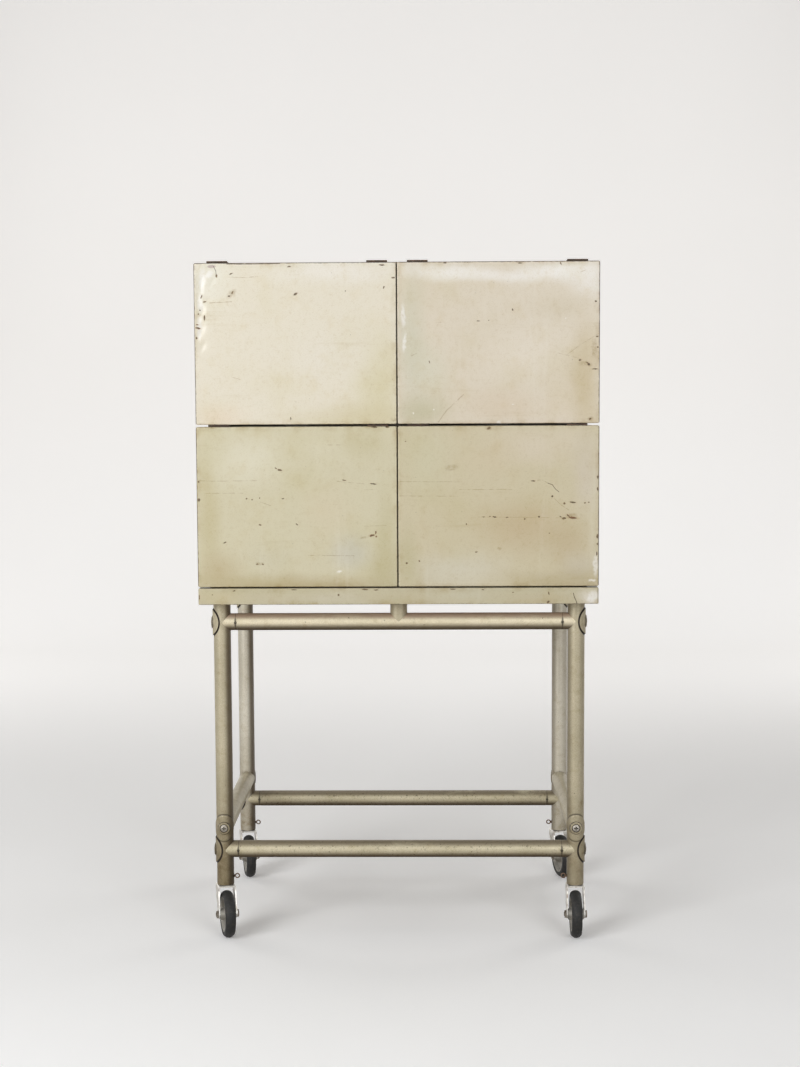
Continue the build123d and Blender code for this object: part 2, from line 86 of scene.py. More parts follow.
class Nodes:
    """One node tree, with a short call for each kind of sum."""

    def __init__(self, tree):
        self.tree = tree

    def put(self, value, socket):
        """Link a node's output to a socket, or set a plain value there."""
        if isinstance(value, bpy.types.NodeSocket):
            self.tree.links.new(value, socket)
        else:
            socket.default_value = value

    def add(self, kind, inputs, **settings):
        """A new node with these settings and inputs."""
        node = self.tree.nodes.new("ShaderNode" + kind)
        for name, value in settings.items():
            setattr(node, name, value)
        for socket, value in inputs.items():
            self.put(value, node.inputs[socket])
        return node

    def math(self, operation, *values, clamp=False):
        inputs = dict(enumerate(values))
        return self.add("Math", inputs, operation=operation, use_clamp=clamp).outputs[0]

    def chain(self, operation, values):
        """One operation over any number of values."""
        total, *rest = values
        for value in rest:
            total = self.math(operation, total, value)
        return total

    def least(self, *values):
        return self.chain("MINIMUM", values)

    def most(self, *values):
        return self.chain("MAXIMUM", values)

    def times(self, *values):
        return self.chain("MULTIPLY", values)

    def less(self, value, taken):
        return self.math("SUBTRACT", value, taken)

    def size(self, value):
        return self.math("ABSOLUTE", value)

    def apart(self, value, other):
        """How far two values are from each other."""
        return self.size(self.less(value, other))

    def scaled(self, value, factor, offset, clamp=False):
        """A value times a factor, plus an offset."""
        return self.math("MULTIPLY_ADD", value, factor, offset, clamp=clamp)

    def hypot(self, one, other):
        """The long side over two sides at a right angle."""
        return self.math("SQRT", self.scaled(one, one, self.times(other, other)))

    def seen(self):
        """1 for rays from the camera, and for those in reflections or through glass."""
        rays = self.add("LightPath", {}).outputs
        return self.most(*[rays["Is %s Ray" % kind] for kind in ("Camera", "Glossy", "Transmission")])


class Coat(Nodes):
    """One material, with a short call for each kind of texture used here."""

    def __init__(self, name):
        self.material = bpy.data.materials.new(name)
        self.material.use_nodes = True
        super().__init__(self.material.node_tree)
        self.tree.nodes.clear()
        self.shader = self.add("BsdfPrincipled", {})
        self.add("OutputMaterial", {"Surface": self.shader.outputs["BSDF"]})
        self.place = self.add("TexCoord", {}).outputs["Object"]

    def dress(self, colour, roughness, normal, metallic=0.0, specular=0.5):
        """Fill in the shader; returns the coat."""
        for name, value in (("Base Color", colour), ("Roughness", roughness), ("Normal", normal),
                            ("Metallic", metallic), ("Specular IOR Level", specular)):
            self.put(value, self.shader.inputs[name])
        return self

    def vector(self, operation, *values):
        node = self.add("VectorMath", dict(enumerate(values)), operation=operation)
        return node.outputs["Value" if operation in ("LENGTH", "DISTANCE", "DOT_PRODUCT") else 0]

    def axes(self, vector=None):
        """The three parts of a vector."""
        return tuple(self.add("SeparateXYZ", {0: vector or self.place}).outputs)

    def noise(self, scale, detail=3.0, roughness=0.5, stretch=None, output="Fac"):
        """Cloudy noise, scale per metre; stretch widens it along each axis."""
        where = self.vector("DIVIDE", self.place, stretch) if stretch else self.place
        inputs = {"Vector": where, "Scale": scale, "Detail": detail, "Roughness": roughness}
        return self.add("TexNoise", inputs).outputs[output]

    def fade(self, value, zero_at, one_at):
        """0 at one value and 1 at the other, smooth between."""
        inputs = {"Value": value, "From Min": zero_at, "From Max": one_at}
        return self.add("MapRange", inputs, interpolation_type="SMOOTHSTEP").outputs["Result"]

    def mix(self, share, under, over, blend="MIX"):
        """Colour under, covered by colour over where share is 1."""
        inputs = {"Factor": share, 6: under, 7: over}
        return self.add("Mix", inputs, data_type="RGBA", blend_type=blend, clamp_factor=True).outputs[2]

    def shade(self, share, colour, tint):
        """Colour multiplied by a tint where share is 1."""
        return self.mix(share, colour, tint, "MULTIPLY")

    def cover(self, mask, share, under, over, blend="MIX"):
        """Colour under, with this share of colour over it where the mask is 1."""
        return self.mix(self.times(mask, share), under, over, blend)

    def dots(self, scale, share, size):
        """Small scattered dots: share of the cells hold one, size is in cells."""
        node = self.add("TexVoronoi", {"Vector": self.place, "Scale": scale})
        red, green, blue = self.axes(node.outputs["Color"])
        reach = self.scaled(green, size * 0.7, size * 0.3)
        ratio = self.math("DIVIDE", node.outputs["Distance"], reach)
        return self.times(self.math("LESS_THAN", red, share), self.fade(ratio, 1.0, 0.5))

    def ripple(self, size, scale):
        """The place, pushed about by up to this much, for ragged outlines."""
        push = self.vector("SUBTRACT", self.noise(scale, 4.0, 0.6, output="Color"), (0.5, 0.5, 0.5))
        return self.vector("MULTIPLY_ADD", push, (2 * size,) * 3, self.place)

    def shaded_crevice(self, distance, open_at, deep_at):
        """Painted shade: 1 deep in a gap or corner narrower than this distance, 0 in the open."""
        return self.fade(self.add("AmbientOcclusion", {"Distance": distance}, samples=6).outputs["AO"],
                         open_at, deep_at)

    def facing(self):
        """How much the surface faces right, back and up, each from -1 to 1."""
        return self.axes(self.add("NewGeometry", {}).outputs["Normal"])

    def bump(self, height, distance, under=None):
        inputs = {"Strength": 1.0, "Distance": distance, "Height": height}
        if under:
            inputs["Normal"] = under
        return self.add("Bump", inputs).outputs["Normal"]

    def grain(self, scale, detail, roughness, height):
        """Fine cloudy relief."""
        return self.bump(self.noise(scale, detail, roughness), height)


def paint_nodes(coat, *names):
    """Give some CAD nodes one coat on every slot."""
    for name in names:
        for slot in nodes[name].material_slots:
            slot.material = coat.material


# ---- marks on enamel ----
def blots(coat, where, places):
    """How near the surface is to any of some oblong marks: 0 in the middle, 1 at the rim.
    A place is x, z, half length and half width in millimetres, and any tilt in degrees."""
    squares = []
    for x, z, half_long, half_wide, *tilt in places:
        angle = radians(tilt[0] if tilt else 0)
        run, rise = cos(angle), sin(angle)
        long, wide = half_long * MM, half_wide * MM
        offset = coat.vector("SUBTRACT", where, (x * MM, 0, z * MM))
        along = coat.vector("DOT_PRODUCT", offset, (run / long, 0, rise / long))
        across = coat.vector("DOT_PRODUCT", offset, (-rise / wide, 0, run / wide))
        squares.append(coat.scaled(along, along, coat.times(across, across)))
    return coat.math("SQRT", coat.least(*squares))


def line_distance(coat, where, x0, z0, x1, z1):
    """Distance in metres from a straight line across a front."""
    run = Vector(((x1 - x0) * MM, 0, (z1 - z0) * MM))
    offset = coat.vector("SUBTRACT", where, (x0 * MM, 0, z0 * MM))
    flat = coat.vector("MULTIPLY", offset, (1, 0, 1))
    along = coat.vector("DOT_PRODUCT", flat, tuple(run / run.length_squared))
    along = coat.math("MULTIPLY", along, 1.0, clamp=True)
    on_line = coat.vector("SCALE", tuple(run))
    coat.put(along, on_line.node.inputs["Scale"])
    return coat.vector("DISTANCE", flat, on_line)


def scratches(coat, where, lines):
    """How near the surface is to any of some scratches: 0 on the line, 1 at its edge."""
    return coat.least(*[coat.math("DIVIDE", line_distance(coat, where, *ends), half_width * MM)
                          for *ends, half_width in lines])


def edge_distance(coat, low, high):
    """Distance in metres from a front's outer arris, on its face and on its folded sides."""
    half = (high - low) / 2
    x, y, z = coat.axes(coat.vector("SUBTRACT", coat.place, tuple((low + high) / 2)))
    inset = coat.least(coat.less(half.x, coat.size(x)), coat.less(half.z, coat.size(z)))
    return coat.hypot(inset, coat.math("ADD", y, half.y))


def outer_distance(coat, low, high, with_top):
    """Distance in metres from a front's edge on the cabinet's outside, and from its top where asked."""
    x, y, z = coat.axes()
    gap = coat.apart(x, low.x if low.x + high.x < 0 else high.x)
    if with_top:
        gap = coat.least(gap, coat.apart(z, high.z))
    return coat.hypot(gap, coat.less(y, low.y))


edge_brown = srgb(62, 47, 38)
gap_shade_brown = srgb(62, 42, 30)
bare_brown = srgb(112, 90, 62)
dark_brown = srgb(78, 60, 42)
rust_red = srgb(118, 80, 50)


def enamel(name, tone, low, high, pools=(), marks=None):
    """Old satin enamel on sheet: broad soft tones with a painted sheen and painted reflections, faint
    clouding, dark arrises, marks with painted highlights, and painted shade in the gaps.
    A pool is x, z, reach along x and z in millimetres, a colour and how much of it."""
    coat = Coat(name)
    colour = tone
    drifting = coat.ripple(26 * MM, 6.0)
    for x, z, reach_x, reach_z, tint, share in pools:
        offset = coat.vector("SUBTRACT", drifting, (x * MM, 0, z * MM))
        flat = coat.vector("MULTIPLY", offset, (1 / (reach_x * MM), 0, 1 / (reach_z * MM)))
        near = coat.fade(coat.vector("LENGTH", flat), 1.25, 0.0)
        colour = coat.cover(near, share, colour, srgb(*tint))
    patch = coat.noise(30.0, 5, 0.62)
    fine = coat.noise(140.0, 6, 0.7)
    for noise, zero_at, one_at, tint in (
            (coat.noise(8.0, 4, 0.55), 0.45, 0.75, srgb(249, 248, 240)),
            (patch, 0.48, 0.8, srgb(249, 246, 238)),
            (fine, 0.5, 0.85, srgb(240, 235, 224)),
            (coat.noise(520.0, 4, 0.7), 0.5, 0.8, srgb(238, 234, 224)),
            (coat.noise(26.0, 5, 0.7, stretch=(7.0, 1.0, 0.6)), 0.58, 0.8, srgb(243, 239, 230))):
        colour = coat.shade(coat.fade(noise, zero_at, one_at), colour, tint)
    upright = coat.noise(20.0, 4, 0.6, stretch=(0.7, 1.0, 6.0))
    colour = coat.cover(coat.fade(upright, 0.58, 0.75), 0.12, colour, srgb(240, 238, 232))

    # a little more dirt by the folded edges, and a dark line along the arrises
    near_edge = edge_distance(coat, low, high)
    dirt = coat.times(coat.fade(near_edge, 0.012, 0.001), coat.fade(patch, 0.4, 0.7))
    colour = coat.cover(dirt, 0.6, colour, srgb(226, 216, 196), "MULTIPLY")
    ragged = coat.noise(150.0, 6, 0.72)
    frayed = coat.less(0.5, ragged)
    dark_arris = coat.fade(coat.scaled(frayed, 0.0026, near_edge), 0.0010, 0.0005)
    on_one_side = abs(low.x + high.x) > 0.1
    if on_one_side:
        outer = outer_distance(coat, low, high, with_top=high.z > 1.0)
        outer = coat.fade(coat.scaled(frayed, 0.0036, outer), 0.0021, 0.0013)
        dark_arris = coat.most(dark_arris, coat.times(outer, 0.85))
    flecks = coat.dots(34.0, 0.05, 0.06)
    colour = coat.cover(flecks, 0.7, colour, bare_brown)
    colour = coat.cover(coat.dots(120.0, 0.03, 0.14), 0.45, colour, dark_brown)
    depth = coat.most(dark_arris, flecks)

    marks = marks or {}
    shaken = coat.ripple(1.6 * MM, 300.0)
    wavy = coat.ripple(0.7 * MM, 90.0)
    blotchy = coat.ripple(4.5 * MM, 120.0)
    # kind, its measure and place, where it fades out and in, how it is broken up, share, colour, blend
    for kind, measure, where, none_at, full_at, broken, share, tint, blend in (
            # pale: painted highlights where dents and bent edges would catch the light
            ("pale", blots, blotchy, 1.15, 0.4, (ragged, 0.25, 0.55), 0.6, srgb(244, 242, 238), "MIX"),
            ("stains", blots, blotchy, 1.1, 0.3, (ragged, 0.3, 0.6), 0.55, srgb(196, 178, 142), "MULTIPLY"),
            ("wear", blots, shaken, 1.0, 0.6, None, 0.8, srgb(178, 160, 156), "MIX"),
            ("faint", scratches, wavy, 1.0, 0.2, (fine, 0.38, 0.55), 0.6, srgb(200, 182, 152), "MULTIPLY"),
            ("scratches", scratches, wavy, 1.0, 0.4, (fine, 0.3, 0.45), 0.85, dark_brown, "MIX")):
        if kind not in marks:
            continue
        mask = coat.fade(measure(coat, where, marks[kind]), none_at, full_at)
        if broken:
            mask = coat.times(mask, coat.fade(*broken))
        colour = coat.cover(mask, share, colour, tint, blend)
        if kind == "scratches":
            depth = coat.most(depth, mask)
    # kind, its halo's reach, share and colour, the bare spot's share, mottling and colours
    for kind, reach, halo, halo_tint, share, mottled, browns in (
            ("chips", 1.8, 0.3, srgb(218, 204, 174), 0.94, (0.4, 0.6), (dark_brown, bare_brown)),
            ("rust", 2.0, 0.35, srgb(216, 188, 150), 0.95, (0.42, 0.62), (rust_red, dark_brown))):
        if kind not in marks:
            continue
        near = blots(coat, shaken, marks[kind])
        colour = coat.cover(coat.fade(near, reach, 0.8), halo, colour, halo_tint, "MULTIPLY")
        spot = coat.fade(near, 1.05, 0.8)
        colour = coat.cover(spot, share, colour, coat.mix(coat.fade(ragged, *mottled), *browns))
        depth = coat.most(depth, spot)

    colour = coat.cover(dark_arris, 0.85, colour, edge_brown)
    # painted shade: dark brown in the narrow gaps between the fronts and in other recesses
    colour = coat.mix(coat.shaded_crevice(5 * MM, 0.6, 0.3), colour, gap_shade_brown)
    rough = coat.scaled(depth, 0.35, coat.scaled(patch, 0.16, 0.27), clamp=True)
    surface = coat.grain(480.0, 2, 0.5, 0.00005)
    return coat.dress(colour, rough, coat.bump(coat.less(1.0, depth), 0.00012, surface))


# ---- other finishes ----
def joint_shade_and_seams(coat, seam_axis, seam_at):
    """1 in the painted shadow line round each bent washer and the painted shade in its rings, in the dark
    seam where a bar meets its end fitting, and in the painted shade of the lock hole there.
    """
    x, y, z = coat.axes()
    front_leg, rear_leg = middle("front_right_leg"), middle("rear_right_leg")
    centred = coat.less(y, (front_leg.y + rear_leg.y) / 2)
    out_x = coat.less(coat.size(x), front_leg.x)
    out_y = coat.less(coat.size(centred), (rear_leg.y - front_leg.y) / 2)

    def height_from(*names):
        """Distance from the nearest of some bars' heights, in washer half heights."""
        nearest = coat.least(*[coat.apart(z, middle(name).z) for name in names])
        return coat.math("DIVIDE", nearest, washer_half_height)

    def ring_at(value, radius, half_width):
        return coat.fade(coat.apart(value, radius), 1.3 * half_width, 0.6 * half_width)

    dirt = []
    for across, outwards, names, share in ((out_y, out_x, ("front_upper_bar", "front_lower_bar"), 1.0),
                                           (out_x, out_y, ("left_side_bar",), 0.55)):
        height = height_from(*names)
        swing = coat.math("DIVIDE", coat.math("ARCTAN2", across, outwards), washer_half_angle)
        rim = coat.hypot(swing, height)
        reach = coat.hypot(across, coat.times(height, washer_half_height))
        # painted shade: dark rings round the screw head and the boss
        rings = coat.most(ring_at(reach, 7.0 * MM, 0.9 * MM),
                            coat.times(ring_at(reach, 11.6 * MM, 0.7 * MM), 0.7))
        # painted shadow: the dark line round each washer's rim
        dirt += [coat.times(coat.fade(rim, 1.13, 1.06), coat.fade(rim, 0.95, 0.99), share),
                 coat.times(rings, coat.math("GREATER_THAN", outwards, 0.015))]
    if seam_axis:
        gap = coat.apart(coat.size(x if seam_axis == "x" else centred), seam_at)
        # painted shade in the lock hole, measured with its height squeezed
        rise = coat.times(height_from("front_upper_bar", "front_lower_bar"), 5.2 * MM)
        hole = coat.fade(coat.hypot(gap, rise), 2.4 * MM, 1.4 * MM)
        dirt += [coat.times(coat.fade(gap, 0.0008, 0.0003), 0.6), coat.times(hole, 0.75)]
    return coat.most(*dirt)


def stand_paint(name, tones, foot_grime_and_inner_shade=0.0, film=None, underside_shade=0.0, freckled=0.5, seam=(None, 0.0)):
    """Grey metallic paint on tube: clouded, freckled, dirty towards the feet, with dark seams and painted
    shade in the joints, round the washers, under the bars and on the legs' inner sides.
    """
    coat = Coat(name)
    x, y, z = coat.axes()
    right, back, up = coat.facing()
    flow = coat.noise(55.0, 6, 0.7)
    colour = coat.mix(coat.fade(coat.noise(9.0, 4, 0.6), 0.3, 0.7), *tones)
    colour = coat.shade(coat.fade(flow, 0.48, 0.8), colour, srgb(230, 225, 212))
    if foot_grime_and_inner_shade:
        # painted shade: the sides of the legs that face in under the cabinet are darkened
        on_left = coat.math("LESS_THAN", x, 0.0)
        inner_shade_left = coat.times(coat.fade(right, 0.15, 0.75), on_left)
        inner_shade_right = coat.times(coat.fade(right, -0.3, -0.95), coat.scaled(on_left, -0.55, 0.55))
        colour = coat.cover(coat.most(inner_shade_left, inner_shade_right), 0.8, colour, srgb(92, 78, 58))
        low_down = coat.times(coat.fade(z, 0.34, 0.10), coat.scaled(on_left, 0.45, 0.55))
        colour = coat.cover(low_down, foot_grime_and_inner_shade, colour, srgb(186, 178, 164), "MULTIPLY")
        smears = coat.times(low_down, coat.fade(flow, 0.4, 0.66))
        colour = coat.cover(smears, 0.7, colour, srgb(206, 196, 178), "MULTIPLY")
    flake = coat.noise(1300.0, 2, 0.6)
    colour = coat.shade(coat.fade(flake, 0.35, 0.65), colour, srgb(228, 225, 219))
    specks = coat.dots(150.0, 0.16 * freckled + 0.02, 0.22)
    colour = coat.cover(specks, 0.85, colour, srgb(66, 54, 42))
    pepper = coat.dots(430.0, 0.30 * freckled + 0.03, 0.3)
    colour = coat.cover(pepper, 0.7, colour, srgb(80, 66, 50))
    grimy = coat.fade(coat.size(up), 0.15, 0.7)
    grains = coat.fade(coat.noise(240.0, 4, 0.65), 0.57, 0.66)
    spotted = coat.times(grains, coat.scaled(grimy, 0.6, 0.3))
    colour = coat.cover(spotted, min(freckled, 1.0), colour, srgb(74, 60, 44))
    if film:
        settled = coat.noise(22.0, 5, 0.65, stretch=(3.0, 1.0, 1.0))
        on_top = coat.times(coat.fade(up, 0.3, 0.8), coat.fade(settled, 0.25, 0.5))
        colour = coat.cover(on_top, 0.85, colour, film)
    metallic, rough = 0.22, coat.scaled(flow, 0.16, 0.30)
    if underside_shade:
        # painted shade: the undersides of the tubes darkened and made less metallic and shiny
        below = coat.times(coat.fade(up, 0.02, -0.72), underside_shade)
        colour = coat.cover(below, 0.9, colour, srgb(66, 52, 34))
        metallic = coat.scaled(below, -0.2, metallic)
        rough = coat.scaled(below, 0.4, rough)
    # painted shade: dark in the joints, round the washers and in narrow corners, with the dark seams
    dirt = coat.most(joint_shade_and_seams(coat, *seam), coat.shaded_crevice(7 * MM, 0.78, 0.3))
    colour = coat.mix(dirt, colour, srgb(42, 34, 26))
    rough = coat.scaled(specks, 0.3, rough, clamp=True)
    surface = coat.bump(coat.less(1.0, specks), 0.00008, coat.grain(520.0, 3, 0.6, 0.00006))
    return coat.dress(colour, rough, surface, metallic, 0.3)


def dull_steel(name, tones, metallic=0.6, roughness=0.42, scale=180.0):
    """Bare or browned steel with patches of another tone, fine grain and painted shade in its recesses."""
    coat = Coat(name)
    patch = coat.noise(scale, 6, 0.7)
    colour = coat.mix(coat.fade(patch, 0.4, 0.66), *tones)
    colour = coat.cover(coat.dots(700.0, 0.2, 0.35), 0.6, colour, srgb(60, 44, 32))
    # painted shade: near black in the recesses
    colour = coat.mix(coat.shaded_crevice(3 * MM, 0.8, 0.45), colour, srgb(26, 22, 18))
    rough = coat.scaled(patch, 0.3, roughness - 0.1, clamp=True)
    return coat.dress(colour, rough, coat.grain(900.0, 4, 0.6, 0.00005), metallic)


def zinc_plate(name):
    """Bright zinc plate, whitened in patches, with dark brown painted shade in the corners."""
    coat = Coat(name)
    patch = coat.noise(120.0, 5, 0.65)
    colour = coat.mix(coat.fade(patch, 0.35, 0.65), srgb(196, 192, 184), srgb(226, 223, 216))
    stain = coat.noise(90.0, 6, 0.7)
    colour = coat.shade(coat.fade(stain, 0.5, 0.72), colour, srgb(150, 126, 98))
    # painted shade: dark brown in the corners
    colour = coat.mix(coat.shaded_crevice(6 * MM, 0.7, 0.25), colour, srgb(58, 48, 38))
    colour = coat.cover(coat.dots(600.0, 0.12, 0.3), 0.7, colour, srgb(92, 76, 60))
    return coat.dress(colour, coat.scaled(patch, 0.25, 0.24), coat.grain(1100.0, 3, 0.5, 0.00004), 0.75)


def tyre_rubber(name):
    """Dusty black rubber, greyer in patches."""
    coat = Coat(name)
    dust = coat.noise(160.0, 6, 0.7)
    colour = coat.mix(coat.fade(dust, 0.45, 0.75), srgb(30, 30, 29), srgb(60, 57, 52))
    colour = coat.cover(coat.dots(900.0, 0.18, 0.3), 0.5, colour, srgb(126, 116, 100))
    grain = coat.grain(1400.0, 4, 0.6, 0.00008)
    return coat.dress(colour, coat.scaled(dust, 0.25, 0.5), grain, specular=0.35)


def primer(name):
    """Dull dark primer, dusty, with scuffs down to steel."""
    coat = Coat(name)
    cloud = coat.noise(12.0, 5, 0.65)
    colour = coat.mix(coat.fade(cloud, 0.35, 0.7), srgb(74, 66, 56), srgb(98, 89, 76))
    scuff = coat.noise(45.0, 6, 0.75, stretch=(4.0, 1.5, 1.0))
    colour = coat.cover(coat.fade(scuff, 0.6, 0.78), 0.5, colour, srgb(128, 118, 102))
    return coat.dress(colour, coat.scaled(cloud, 0.2, 0.55), coat.grain(700.0, 3, 0.6, 0.00006))


def moulded_plastic(name, tone):
    """Matt moulded case with fine grain."""
    coat = Coat(name)
    cloud = coat.noise(90.0, 4)
    colour = coat.shade(coat.fade(cloud, 0.4, 0.7), tone, srgb(200, 196, 190))
    return coat.dress(colour, coat.scaled(cloud, 0.2, 0.45), coat.grain(1500.0, 2, 0.5, 0.00005))


def grey_rim_paint(name):
    """Chipped grey paint on the wheel centres."""
    coat = Coat(name)
    cloud = coat.noise(110.0, 5, 0.65)
    colour = coat.mix(coat.fade(cloud, 0.38, 0.66), srgb(138, 134, 126), srgb(164, 160, 150))
    colour = coat.cover(coat.dots(380.0, 0.2, 0.32), 0.8, colour, srgb(78, 64, 52))
    return coat.dress(colour, coat.scaled(cloud, 0.2, 0.38), coat.bump(cloud, 0.00005), 0.2)


# ---- the marks that each front shows, in millimetres ----
# blots are (x, z, half length, half width, any tilt in degrees); lines are (x0, z0, x1, z1, half width); the
# pale blots are painted highlights on dents and bent edges
front_marks = {
    "upper_left_front": {
        "stains": [(-294, 1204, 8, 5, 50), (-301, 1196, 7, 5, 20), (-298, 1200, 9, 8), (-6, 974, 5, 9, 80)],
        "chips": [(-296, 1203, 3.4, 1.4, 60), (-302, 1197, 2.6, 1.2, 20), (-182, 1200, 4.4, 1.8, 28),
                  (-298, 1237, 3.2, 1.3, 20), (-324, 1233, 1.6, 3), (-26, 1251, 5.5, 1.4), (-6, 1228, 3, 1.4),
                  (-23, 1211, 1.3, 2.4, -30), (-193, 1249, 4, 1, 5), (-193, 976, 1.1, 2.8),
                  (-347, 1158, 1.3, 5.5), (-362, 1122, 1.6, 2.2), (-92, 1205, 1.2, 1),
                  (-352, 1196, 1.2, 3.6, -20), (-346, 1187, 3.4, 1.2, 10), (-358, 1165, 1.4, 1.2),
                  (-355, 1172, 1, 1.4)],
        "rust": [(-359, 1140, 5, 1.5, -12), (-360, 1146, 2.6, 1)],
        "wear": [(-333, 1250, 9, 3.2)],
        "pale": [(-350, 1226, 26, 7, 86), (-354, 1184, 22, 6, 92), (-356, 1142, 26, 6, 88),
                 (-338, 1236, 12, 7, 40)],
        "faint": [(-301, 1231, -270, 1230, 0.8), (-270, 1230, -250, 1232, 0.9), (-337, 1185, -297, 1187, 1.2),
                  (-300, 1052, -284, 1047, 0.8)],
        "scratches": [(-329, 1250, -325, 1242, 0.8), (-325, 1242, -325, 1235, 0.7),
                      (-305, 1254.5, -258, 1254, 1.2), (-258, 1254, -210, 1254.5, 0.9)],
    },
    "upper_right_front": {
        "chips": [(358, 1184, 2, 1.6), (209, 1170, 1.1, 2.2, 20), (147, 1150, 3, 0.9), (166, 1151, 1, 0.9),
                  (361, 1121, 2.4, 1.5), (362, 1102, 1.6, 1.5), (330, 1079, 2.4, 1.5, 20),
                  (346, 1071, 2.8, 1.8, -30), (344, 1074, 4, 0.9, -20), (357, 1063, 6, 0.9),
                  (349, 973, 2.6, 1.6, 40), (59, 1077, 1, 2.4, 20), (87, 1254, 3, 1.4), (222, 1253, 4, 1.1),
                  (295, 1252, 1.2, 3, 20)],
        "stains": [(340, 1072, 16, 6, -10), (349, 973, 7, 6), (356, 1100, 6, 20)],
        "faint": [(290, 1092, 318, 1085, 0.8), (318, 1085, 334, 1080, 0.7), (366, 1128, 330, 1106, 0.8),
                  (330, 1106, 306, 1088, 0.7), (26, 1088, 36, 1093, 0.9), (120, 1018, 90, 990, 1.4),
                  (90, 990, 74, 968, 1.4), (71, 1148, 80, 1148, 1), (330, 1236, 341, 1240, 0.8)],
        "pale": [(29, 985, 2.4, 1.6, 40), (66, 991, 1.8, 1.8), (304, 1154, 1.6, 1.6), (184, 965, 8, 5, 60),
                 (210, 1000, 2, 1.2, 20), (12, 1160, 24, 5, 92), (14, 1112, 20, 4, 86)],
    },
    "lower_left_front": {
        "chips": [(-214, 883, 4.2, 1.7, -12), (-221, 886, 2.4, 1, -35), (-97, 864, 4, 1.2, -10),
                  (-275, 831, 1.6, 1.4), (-265, 829, 1.2, 1.2), (-251, 832, 1.2, 1.1), (-209, 831, 2.4, 1),
                  (-184, 784, 2.8, 1.1, -40), (-251, 783, 2.6, 1.3, -10), (-316, 751, 3.6, 1.2, 20),
                  (-257, 711, 2.2, 1.4, 20), (-247, 711, 1.8, 1.4), (-362, 829, 2.4, 3), (-362, 862, 1.4, 2),
                  (-42, 960, 7, 1.1, -5), (-18, 960, 4, 1.5), (-44, 857, 6, 1.1, -5)],
        "rust": [(-47, 763, 5.2, 1.8, 12), (-40, 768, 1.2, 2.8, -10), (-39, 761, 1.8, 1.6)],
        "stains": [(-62, 759, 10, 2.6, 12), (-252, 712, 9, 4), (-336, 962, 22, 4)],
        "faint": [(-361, 864, -330, 863, 0.9), (-330, 863, -256, 864, 0.8), (-355, 841, -281, 841, 0.8),
                  (-251, 825, -231, 818, 0.8), (-164, 727, -80, 726, 0.8), (-126, 928, -98, 928, 0.8),
                  (-110, 862, -60, 857, 0.8), (-60, 780, -20, 781, 0.7), (-60, 846, -42, 847, 0.8)],
        "pale": [(-107, 697, 5, 2.4, 10)],
    },
    "lower_right_front": {
        "rust": [(318, 794, 8, 1.9, -6), (310, 798, 3.4, 1.1, -40)],
        "chips": [(302, 793, 4, 1.8, 6), (296, 796, 2.2, 1, -30), (257, 796, 1.7, 1.6), (231, 792, 1.2, 1.6),
                  (199, 795, 2.6, 0.9), (176, 796, 3.4, 1.2, -8), (168, 797, 1.8, 1.1), (156, 796, 2.6, 0.9),
                  (246, 861, 3.8, 1.2, -4), (281, 833, 2, 1.6, 20), (303, 820, 2, 1.8, 40),
                  (318, 822, 5.6, 1.5, -8), (340, 821, 2, 1.2), (347, 822, 1.2, 1.2), (16, 712, 2, 1.8),
                  (39, 716, 1.1, 1.8, 20), (143, 732, 2.4, 1), (276, 766, 1, 1), (166, 957, 3.6, 2.2, 30),
                  (15, 934, 1.2, 1), (363, 868, 1.6, 3.2), (363, 846, 1.2, 3.4), (363, 760, 1.8, 4.4),
                  (363, 746, 1.4, 2.2), (362, 728, 1.2, 4), (125, 783, 1, 1.6)],
        "stains": [(185, 738, 5, 4), (316, 798, 13, 5, -8), (99, 886, 16, 7, 10), (166, 957, 7, 4)],
        "scratches": [(273, 857, 281, 854, 0.8), (281, 854, 287, 846, 0.9), (287, 846, 293, 841, 0.8)],
        "faint": [(246, 862, 262, 863, 0.9), (262, 863, 273, 857, 0.9), (284, 830, 296, 818, 0.8),
                  (296, 818, 311, 808, 0.8), (5, 861, 112, 860, 0.8), (4, 835, 112, 834, 0.8),
                  (112, 846, 208, 846, 0.9), (147, 796, 300, 794, 0.6)],
        "pale": [(360, 708, 24, 5, 88), (354, 680, 8, 3)],
    },
}
